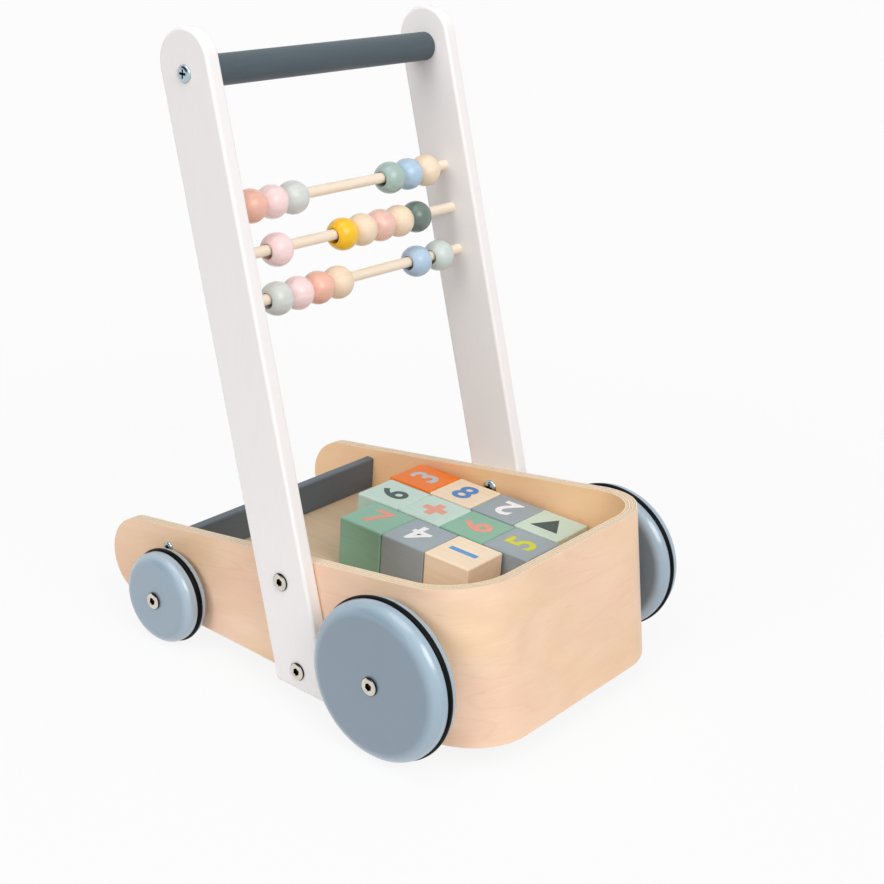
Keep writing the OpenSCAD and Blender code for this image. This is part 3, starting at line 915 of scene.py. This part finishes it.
def wheel_rings(radius, half, outer, inner, groove_r, groove_at):
    """Section of a disc from its bore out and back: soft outer edge, groove, soft inner edge."""
    ring_c = groove_c(radius, groove_r)
    dip = math.degrees(math.acos(min(1, (radius - ring_c) / groove_r)))
    groove = arc((ring_c, groove_at), groove_r, dip, 360 - dip, GROOVE_STEPS)
    face = [(BORE_R, half - BORE_EASE), (BORE_R + BORE_EASE, half)]
    back = [(BORE_R + BORE_EASE, -half), (BORE_R, -half + BORE_EASE)]
    inside = [(r, -h) for r, h in reversed(soft_edge(radius, half, inner))]
    return face + soft_edge(radius, half, outer) + groove + inside + back + [face[0]]


def build_wheel(wheel, side, edges, paint, rubber):
    """A disc and its rubber ring; side +1 or -1 is the way out from the walker."""
    low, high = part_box(wheel + "_disc")
    centre = middle((low, high))
    half = (high.y - low.y) / 2
    ring_low, ring_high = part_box(wheel + "_tyre")
    ring_r = (ring_high.y - ring_low.y) / 2
    ring_at = side * (middle((ring_low, ring_high)).y - centre.y)
    radius = (ring_high.x - ring_low.x) / 2 - RING_PROUD
    rings = wheel_rings(radius, half, *edges, ring_r, ring_at)
    disc = turned_ring(centre, side, rings, WHEEL_SEGMENTS)
    thing = piece(wheel + "_disc", "_turned", disc, paint)
    reach = thing.data.attributes.new("reach", "FLOAT", "POINT")
    for i, vertex in enumerate(thing.data.vertices):
        away = vertex.co - centre
        reach.data[i].value = math.hypot(away.x, away.z)
    torus = arc((groove_c(radius, ring_r), ring_at), ring_r, 0, 360, RING_STEPS)
    tyre = turned_ring(centre, side, torus, WHEEL_SEGMENTS)
    piece(wheel + "_tyre", "_ring", tyre, rubber)


def build_wheels():
    rubber = soft_polymer("black rubber", "#030304", 0.30, 0.2, shine=0.08)
    nylon = soft_polymer("white nylon", "#E4E3DC", 0.38, 0.1)
    for axle, edges in SOFT_EDGES.items():
        # Each axle has its own copy of the paint; the front one is painted darker as painted
        # shade
        face, rim = WHEEL_PAINT_AND_PAINTED_LIGHT[axle]
        low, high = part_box(axle + "_right_disc")
        paint = wheel_paint("powder blue paint, " + axle, face, rim, (high.x - low.x) / 2)
        for hand, side in (("left", 1), ("right", -1)):
            wheel = f"{axle}_{hand}"
            build_wheel(wheel, side, edges, paint, rubber)
            dress(wheel + "_bush", nylon)
    dress("wheel_spacers", nylon)


build_wheels()

# ---------------------------------------------------------------- beads

BEAD_FINISH = {
    "salmon_paint": "#F0B8A3",
    "pink_paint": "#FADBD9",
    "mist_paint": "#D5D9D4",
    "sage_paint": "#A6BDB5",
    "blue_paint": "#B0C9DF",
    "yellow_paint": "#FCC400",
    "forest_paint": "#697972",
    "rose_paint": "#EDC1B2",
    "leaf_paint": "#CDD7D2",
}
BEAD_PLAY = 1.5 * MM
BEAD_STEPS = 30
BEAD_SEGMENTS = 72
MOUTH_ROUND = 0.6 * MM
# Degrees between the flat end of a bead and the first ring of its ball
MOUTH_GAP = 1.5


def bead_rings(half, radius):
    """Turned ball with flat, softly countersunk ends, from the bore's middle out and back."""
    rail_low, rail_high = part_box("top_rail")
    bore = (rail_high.z - rail_low.z) / 2 + BEAD_PLAY
    edge = math.degrees(math.asin(half / radius))
    skin = arc((0, 0), radius, edge - MOUTH_GAP, -edge + MOUTH_GAP, BEAD_STEPS)
    mouth = arc((bore + MOUTH_ROUND, half - MOUTH_ROUND), MOUTH_ROUND, 180, 90, 5)
    top = [(bore, 0)] + mouth
    return top + skin + [(r, -h) for r, h in reversed(top)]


def build_beads():
    finishes = {}
    for slot, code in BEAD_FINISH.items():
        finishes[slot] = lacquered_bead(slot.replace("_", " "), code)
    finishes["natural_bead"] = clear_wood("lacquered bead", "#F7E3CB", "#EBD1B1", 1, gloss=0.40)
    for node, slot in slots.items():
        if "_bead_" in node:
            low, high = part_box(node)
            rings = bead_rings((high.y - low.y) / 2, (high.z - low.z) / 2)
            bead = turned_ring(middle((low, high)), 1, rings, BEAD_SEGMENTS)
            piece(node, "_turned", bead, finishes[slot])


build_beads()

# ---------------------------------------------------------------- blocks

BLOCK_FINISH = {
    "orange_block": "#F07810",
    "grey_block": "#9AA6AC",
    "leaf_block": "#C8DACA",
    "mint_block": "#C5DCD1",
    "green_block": "#8AB7A0",
}
BLOCK_EDGE = 1.5 * MM
# What is printed on each block: figure or shape, ink and quarter turns
PRINTS = [
    ("3", "#BFC4C8", 1),
    ("8", "#4E86C6", 0),
    ("2", "#F4F4F4", 2),
    ("triangle", "#3F5350", 0),
    ("6", "#3F5350", 1),
    ("plus", "#E8A48E", 0),
    ("9", "#EE9C86", 3),
    ("5", "#D3D338", 1),
    ("7", "#EE9C86", 0),
    ("4", "#F4F4F4", 2),
    ("1", "#5B9BD3", 1),
]
FIGURE_H = 25 * MM
FIGURE_BOLD = 0.022
FIGURE_STEPS = 6
INK_T = 0.12 * MM
# Shapes one unit high, or nearly
TRIANGLE = [(0, 0.46), (-0.5, -0.4), (0.5, -0.4)]
PLUS_ARM, PLUS_HALF = 0.14, 0.42


def figure_mesh(figure):
    """Flat mesh of a numeral or simple shape, about one unit high and centred."""
    if figure == "triangle":
        outline = TRIANGLE
    elif figure == "plus":
        arm, half = PLUS_ARM, PLUS_HALF
        outline = [(arm, half), (-arm, half), (-arm, arm)]
        outline += [(-half, arm), (-half, -arm), (-arm, -arm)]
        outline += [(-a, -b) for a, b in outline]
    else:
        return numeral_mesh(figure)
    shape = bmesh.new()
    shape.faces.new([shape.verts.new((a, b, 0)) for a, b in outline])
    return shape


def numeral_mesh(figure):
    """Plain bold numeral from the built-in font."""
    curve = bpy.data.curves.new("figure", "FONT")
    curve.body = figure
    curve.offset = FIGURE_BOLD
    curve.resolution_u = FIGURE_STEPS
    curve.align_x = "CENTER"
    text = bpy.data.objects.new("figure", curve)
    bpy.context.scene.collection.objects.link(text)
    bpy.context.view_layer.update()
    depsgraph = bpy.context.evaluated_depsgraph_get()
    mesh = bpy.data.meshes.new_from_object(text.evaluated_get(depsgraph))
    bpy.data.objects.remove(text)
    bpy.data.curves.remove(curve)
    shape = bmesh.new()
    shape.from_mesh(mesh)
    bpy.data.meshes.remove(mesh)
    bmesh.ops.remove_doubles(shape, verts=shape.verts, dist=0.0001)
    low, high = corners_of(shape.verts)
    bmesh.ops.translate(shape, verts=shape.verts, vec=-(low + high) / 2)
    bmesh.ops.scale(shape, verts=shape.verts, vec=(1 / (high.y - low.y),) * 3)
    return shape


def print_on_top(node, figure, quarter_turns, ink):
    """A thin film of ink on the top face of a block."""
    low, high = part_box(node)
    shape = figure_mesh(figure)
    film = bmesh.ops.extrude_face_region(shape, geom=shape.faces[:])["geom"]
    lifted = [v for v in film if isinstance(v, bmesh.types.BMVert)]
    bmesh.ops.translate(shape, verts=lifted, vec=(0, 0, 2 * INK_T / FIGURE_H))
    place = Matrix.Translation(((low.x + high.x) / 2, (low.y + high.y) / 2, high.z - INK_T))
    turn = Matrix.Rotation(math.pi / 2 * quarter_turns, 4, "Z")
    shape.transform(place @ turn @ Matrix.Scale(FIGURE_H, 4))
    piece(node, "_print", shape, ink, replaces=False)


def build_blocks():
    satin = {"gloss": 0.40, "grain": 0.55, "shine": 0.3}
    finishes = {}
    for slot, code in BLOCK_FINISH.items():
        finishes[slot] = painted_wood(slot.replace("_", " "), code, 0, **satin)
    finishes["maple_block"] = clear_wood("maple block", "#F5E4CE", "#EAD0AE", 0, rings=0.45)
    inks = {}
    for number, (figure, code, turns) in enumerate(PRINTS, start=1):
        node = f"block_{number}"
        cube = eased_box(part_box(node), BLOCK_EDGE, 5)
        piece(node, "_cube", cube, finishes[slots[node]])
        if code not in inks:
            inks[code] = printed_ink("ink " + code[1:], code)
        print_on_top(node, figure, turns, inks[code])


build_blocks()

# ---------------------------------------------------------------- studio

# Strength of what rays from the camera, reflections and glass see
WHITE = 0.974
# Strength of the light on the object from the dark and from the bright side of the world
WORLD_LIGHT = (0.26, 0.62)
# Azimuth and elevation of the bright side, and where between the sides the light turns
BRIGHT_SIDE = (100, 30)
BRIGHT_SPAN = (-0.6, 0.9)
FLOOR_SIZE = 8.0
# Distances from the middle over which the floor fades out
FLOOR_FADE = (0.35, 0.9)
FLOOR_MATT = (0.74, 0.74, 0.75, 1)
# Share and strength of the glow that such rays see on the floor
FLOOR_LIFT = 0.87
FLOOR_GLOW = 1.006
CARD_BLACK = (0.01, 0.01, 0.01, 1)
# What the lamps and the card face
WALKER_MIDDLE = Vector((0, 0, 0.2))


def towards(azimuth, elevation):
    """Unit vector, from degrees; azimuth 0 is the child's right, 90 the front."""
    turn, rise = math.radians(azimuth), math.radians(elevation)
    flat = math.cos(rise)
    return Vector((math.sin(turn) * flat, -math.cos(turn) * flat, math.sin(rise)))


def face_walker(thing, azimuth, elevation, distance):
    """Hangs a lamp or a card at a distance from the middle of the walker, facing it."""
    away = towards(azimuth, elevation)
    thing.location = WALKER_MIDDLE + distance * away
    thing.rotation_euler = (-away).to_track_quat("-Z", "Y").to_euler()
    bpy.context.scene.collection.objects.link(thing)


def seen(tree):
    """1 for rays that see the background: from the camera, in reflections, through glass."""
    path = add_node(tree, "LightPath").outputs
    value = path["Is Camera Ray"]
    for kind in ("Is Glossy Ray", "Is Transmission Ray"):
        value = add_node(tree, "Math", {0: value, 1: path[kind]}, operation="MAXIMUM").outputs[0]
    return value


def smooth_range(tree, value, low, high, **target):
    """Maps the range from low to high smoothly to 0 and 1, or to the given To_Min and To_Max."""
    inputs = {"Value": value, "From Min": low, "From Max": high}
    inputs |= {key.replace("_", " "): end for key, end in target.items()}
    return add_node(tree, "MapRange", inputs, interpolation_type="SMOOTHSTEP").outputs[0]


def build_world():
    """Plain light that is stronger from BRIGHT_SIDE, behind a white background."""
    world = bpy.data.worlds.new("studio")
    bpy.context.scene.world = world
    world.use_nodes = True
    tree = world.node_tree
    tree.nodes.clear()
    sides = {0: add_node(tree, "TexCoord").outputs["Generated"], 1: towards(*BRIGHT_SIDE)}
    facing = add_node(tree, "VectorMath", sides, operation="DOT_PRODUCT").outputs["Value"]
    dim, bright = WORLD_LIGHT
    light = smooth_range(tree, facing, *BRIGHT_SPAN, To_Min=dim, To_Max=bright)
    strength = add_node(tree, "MapRange", {"Value": seen(tree), "To Min": light, "To Max": WHITE})
    glow = {"Color": (1, 1, 1, 1), "Strength": strength.outputs[0]}
    background = add_node(tree, "Background", glow)
    add_node(tree, "OutputWorld", {"Surface": background.outputs[0]})


def build_floor():
    """A pale floor that holds the shadow, seen as white, and fades out around the walker."""
    half = FLOOR_SIZE / 2
    corners = [(-half, -half, 0), (half, -half, 0), (half, half, 0), (-half, half, 0)]
    mesh = bpy.data.meshes.new("floor")
    mesh.from_pydata(corners, [], [(0, 1, 2, 3)])
    floor = bpy.data.objects.new("floor", mesh)
    bpy.context.scene.collection.objects.link(floor)
    material = bpy.data.materials.new("studio floor")
    material.use_nodes = True
    tree = material.node_tree
    tree.nodes.clear()
    matt = add_node(tree, "BsdfDiffuse", {"Color": FLOOR_MATT}).outputs[0]
    glow = add_node(tree, "Emission", {"Strength": FLOOR_GLOW}).outputs[0]
    clear = add_node(tree, "BsdfTransparent").outputs[0]
    share = add_node(tree, "Math", {0: seen(tree), 1: FLOOR_LIFT}, operation="MULTIPLY")
    lift = add_node(tree, "MixShader", {0: share.outputs[0], 1: matt, 2: glow}).outputs[0]
    place = {0: add_node(tree, "TexCoord").outputs["Object"]}
    length = add_node(tree, "VectorMath", place, operation="LENGTH").outputs["Value"]
    gone = smooth_range(tree, length, *FLOOR_FADE)
    fade = add_node(tree, "MixShader", {0: gone, 1: lift, 2: clear}).outputs[0]
    add_node(tree, "OutputMaterial", {"Surface": fade})
    mesh.materials.append(material)


def dark_card(azimuth, elevation, distance, width, height):
    """A black oval card beside the camera, which only shows in polished metal and gloss."""
    shape = bmesh.new()
    bmesh.ops.create_circle(shape, cap_ends=True, segments=48, radius=0.5)
    bmesh.ops.scale(shape, verts=shape.verts, vec=(width, height, 1))
    mesh = bpy.data.meshes.new("card")
    shape.to_mesh(mesh)
    shape.free()
    material = bpy.data.materials.new("black card")
    material.use_nodes = True
    surface = material.node_tree.nodes["Principled BSDF"]
    surface.inputs["Base Color"].default_value = CARD_BLACK
    mesh.materials.append(material)
    card = bpy.data.objects.new("card", mesh)
    face_walker(card, azimuth, elevation, distance)
    for view in ("camera", "diffuse", "shadow", "transmission", "volume_scatter"):
        setattr(card, "visible_" + view, False)


def soft_box(name, azimuth, elevation, distance, size, power, shows=True):
    """A round area light that faces the walker; shows: whether gloss mirrors it."""
    data = bpy.data.lights.new(name, "AREA")
    data.shape = "DISK"
    data.size = size
    data.energy = power
    lamp = bpy.data.objects.new(name, data)
    lamp.visible_glossy = shows
    face_walker(lamp, azimuth, elevation, distance)


build_world()
build_floor()
soft_box("key", azimuth=72, elevation=36, distance=3.2, size=1.9, power=41)
soft_box("top", azimuth=0, elevation=74, distance=2.2, size=1.6, power=11)
soft_box("fill", azimuth=-6, elevation=28, distance=4.0, size=2.0, power=50, shows=False)
dark_card(azimuth=-28, elevation=24, distance=1.8, width=2.1, height=1.1)
bpy.context.scene.view_settings.view_transform = "Standard"
